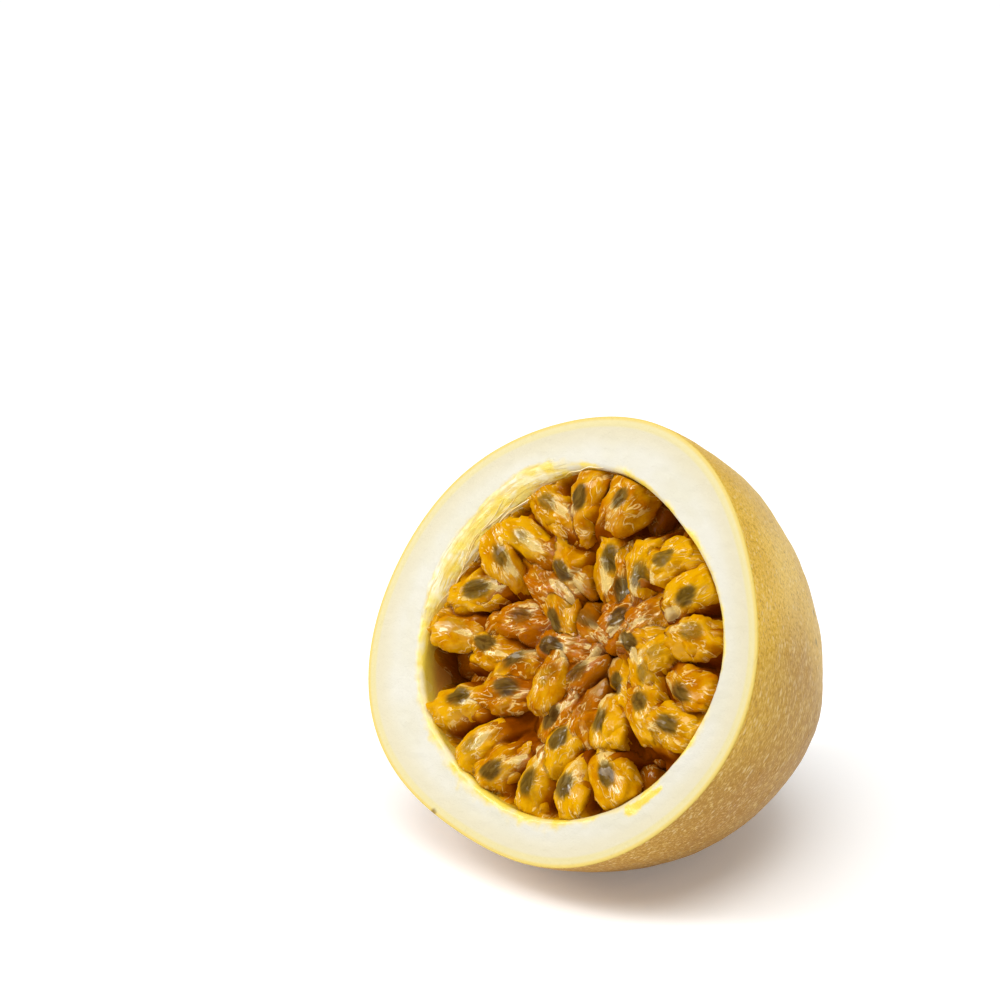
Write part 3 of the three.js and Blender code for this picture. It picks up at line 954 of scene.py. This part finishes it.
def make_stub(material):
    """A ribbed rod that narrows from foot to end, then a broken end that closes to a point."""
    angle = steps_round(72)[None, :]
    down, closing = np.linspace(0, 1, 26)[:, None], np.linspace(0, 1, 7)[:, None]
    rib = 1 + 0.13 * np.cos(STUB_RIBS * angle) + 0.05 * np.cos(11 * angle + 4 * down)
    side = (STUB_FOOT + (STUB_END - STUB_FOOT) * down + 0.5 * np.exp(-down / 0.12)) * rib
    r = np.concatenate([side, STUB_END * rib[:1] * np.linspace(0.9, 0, 7)[:, None]])
    base = DIMPLE_DEPTH - HALF_LENGTH
    z = np.concatenate([base + 0.6 - (STUB_LENGTH + 0.6) * down + 0 * angle,
                        base - STUB_LENGTH + 0.5 * closing + 0 * angle])
    near_end = fade(0.7, 1, np.concatenate([down, np.ones((7, 1))]))
    z -= 0.45 * np.cos(STUB_RIBS * angle + 1) * near_end * (r > 0.1)
    stub = np.stack([r * np.cos(angle), r * np.sin(angle), z], -1)
    tip = np.concatenate([fade(0.6, 1, down), np.ones((7, 1))])
    make_piece("stem_stub", lean_back(stub)[None], material, "stem", "dry_stem", tip=tip)


def make_lobes(material):
    """Leaves on the skin: x runs outwards, y across, and each leaf is lifted by ripple and y^2."""
    lobes = []
    along, around = np.linspace(0, np.pi, 16)[:, None], steps_round(24)[None, :]
    x = 2.6 - 2.3 * np.cos(along) + 0 * around
    y = 1.3 * np.sin(along) * np.cos(around) * (1 - 0.25 * np.cos(along * 2))
    thick = 0.28 * np.sin(along) * np.sin(around)
    dimple = DIMPLE_DEPTH * np.exp(-((x / DIMPLE_RADIUS) ** 2))
    skin = dimple - HALF_LENGTH * np.sqrt(1 - (x / FACE_RADIUS) ** 2)
    for i in range(LOBES):
        turn = 2 * np.pi * i / LOBES
        crease = 0.25 * ripple(np.stack([x, y, x * 0 + i * 9], -1), 2.4, seed=40 + i)
        z = skin - (0.45 + crease + 0.12 * y**2) - thick
        turned = x * np.cos(turn) - y * np.sin(turn), x * np.sin(turn) + y * np.cos(turn), z
        lobes.append(np.stack(turned, -1))
    make_piece("stem_lobes", lean_back(np.array(lobes)), material, "stem", "dry_stem", tip=0.0)


dry_stalk = finish_stem()
make_stub(dry_stalk)
make_lobes(dry_stalk)

# %% [markdown]
# ## Fibres of the torn lining
#
# Over the painted shreds of the torn lining lie a few loose, pale yellow fibres. Each is a thin
# tube carried along a wavering path, thinner at both ends. A curve with a bevel would give the
# same, but its ends and its place on the slope are simpler to set on a grid.

# %% Fibres
FIBRES = 9


def finish_fibre():
    fibre = Finish("wet_fibre", Roughness=0.4, Coat_Weight=0.25, Coat_Roughness=0.1)
    tint = fibre.noise(fibre.place(), 2.2).step(0.35, 0.65)
    fibre.set(Base_Color=fibre.mix(tint, "ebdfb8", "e8c860"))
    return fibre.material


def make_fibres():
    """Tubes whose axes waver along the slope at some depth, of radius thickest sin(pi part)^0.4."""
    draw = np.random.default_rng(12)
    part = np.linspace(0, 1, 40)
    around = steps_round(8)
    tubes = []
    for _ in range(FIBRES):
        middle, reach = TORN + draw.normal(0, 0.42), draw.uniform(0.1, 0.32)
        level, drift = draw.uniform(0.45, 0.95), draw.normal(0, 0.25)
        radius = draw.uniform(0.06, 0.15)
        angle = middle + reach * (2 * part - 1)
        sway = 0.08 * np.sin(part * draw.uniform(6, 14))
        bend = np.clip(level + drift * (part - 0.5) + sway, 0, 1) * np.pi / 2
        edge = EDGE + TORN_EDGE * torn(angle)
        r = hollow_radius(angle, 0) + edge * (1 - np.sin(bend)) - 0.05
        z = -edge * (1 - TORN_DROP * torn(angle)) * (1 - np.cos(bend)) + 0.02
        axis = np.stack([r * np.cos(angle), r * np.sin(angle), z], -1)
        thick = radius * np.sin(np.pi * part) ** 0.4
        outward = np.stack([np.cos(angle), np.sin(angle), 0 * angle], -1)[:, None]
        ring = outward * np.cos(around)[:, None] + np.outer(np.sin(around), [0, 0, 1])
        tubes.append(axis[:, None] + ring * thick[:, None, None])
    make_piece("lining_fibres", lean_back(np.array(tubes)), finish_fibre(), "pith", "rind")


make_fibres()

# %% [markdown]
# ## Camera, light and floor
#
# The camera looks down at the fruit from the front right, through a long lens. A large soft light
# hangs overhead and two stand at the sides, as in a small product studio, so wet surfaces reflect
# broad pale patches. The floor is plain and pale, and glows faintly like a lit table, which keeps
# the shadow soft and light.

# %% The camera
AZIMUTH, ELEVATION = 40.7, 22.0  # degrees
DISTANCE, LENS = 0.5714, 129.6  # metres, and millimetres on a 36 mm sensor
AIM_LEFT, AIM_UP = 0.0098, 0.0222  # metres, from the middle of the cut face


def direction(azimuth, elevation):
    """Outwards from the fruit: (sin a cos e, -cos a cos e, sin e), for a and e in degrees."""
    a, e = np.radians(azimuth), np.radians(elevation)
    return np.array([np.sin(a) * np.cos(e), -np.cos(a) * np.cos(e), np.sin(e)])


def stand(thing, at, to):
    """Puts a camera or a lamp at one place, turned to another."""
    thing.location = at
    thing.rotation_euler = Vector(to - at).to_track_quat("-Z", "Y").to_euler()
    bpy.context.scene.collection.objects.link(thing)


camera = bpy.data.objects.new("camera", bpy.data.cameras.new("camera"))
camera.data.lens = LENS
face, back = FACE_CENTRE / 1000, direction(AZIMUTH, ELEVATION)
right = direction(AZIMUTH + 90, 0)
aim = face - AIM_LEFT * right + AIM_UP * np.cross(back, right)
stand(camera, face + back * DISTANCE, aim)
bpy.context.scene.camera = camera
print(f"the camera stands {DISTANCE * 1000:.0f} mm from the cut face")

# %% The lights
FRUIT = np.array([0, 0, 0.035])  # its middle, in metres


def key_light(name, azimuth, elevation, strength, width):
    """A far round light, `width` degrees across, so that it lights the whole floor evenly."""
    lamp = bpy.data.objects.new(name, bpy.data.lights.new(name, "SUN"))
    lamp.data.energy, lamp.data.angle = strength, np.radians(width)
    stand(lamp, FRUIT + direction(azimuth, elevation), FRUIT)


def soft_light(name, azimuth, elevation, distance, width, height, power):
    """A near rectangular light, sizes in metres."""
    lamp = bpy.data.objects.new(name, bpy.data.lights.new(name, "AREA"))
    lamp.data.shape, lamp.data.energy = "RECTANGLE", power
    lamp.data.size, lamp.data.size_y = width, height
    stand(lamp, FRUIT + direction(azimuth, elevation) * distance, FRUIT)


key_light("overhead", 20, 70, 1.8, 45)
soft_light("front_left", -38, 34, 0.6, 0.2, 0.34, 2.1)
soft_light("right", 100, 68, 0.6, 0.25, 0.25, 0.7)

world = bpy.data.worlds.new("studio")
world.use_nodes = True
sky = world.node_tree.nodes["Background"].inputs
sky["Color"].default_value, sky["Strength"].default_value = (1, 1, 1, 1), 0.33
bpy.context.scene.world = world
bpy.context.scene.view_settings.view_transform = "Standard"

# %% The floor
floor_mesh = bpy.data.meshes.new("floor")
floor_mesh.from_pydata([(-3, -3, 0), (3, -3, 0), (3, 3, 0), (-3, 3, 0)], [], [(0, 1, 2, 3)])
pale = Finish("floor", Base_Color=(0.95, 0.95, 0.945, 1), Roughness=0.9)
pale.set(Emission_Color=(1, 1, 1, 1), Emission_Strength=0.15)
floor_mesh.materials.append(pale.material)
floor = bpy.data.objects.new("floor", floor_mesh)
bpy.context.scene.collection.objects.link(floor)
floor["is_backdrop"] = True

# %% [markdown]
# Last, both boxes are written down, to see that the fine surfaces kept to the solids' size.

# %% The sizes
fine_box = [list(corner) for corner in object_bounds()]
for name, low, high in (("solids", *cad_box), ("surfaces", *fine_box)):
    print(name, [round(1000 * (b - a), 1) for a, b in zip(low, high)], "mm")
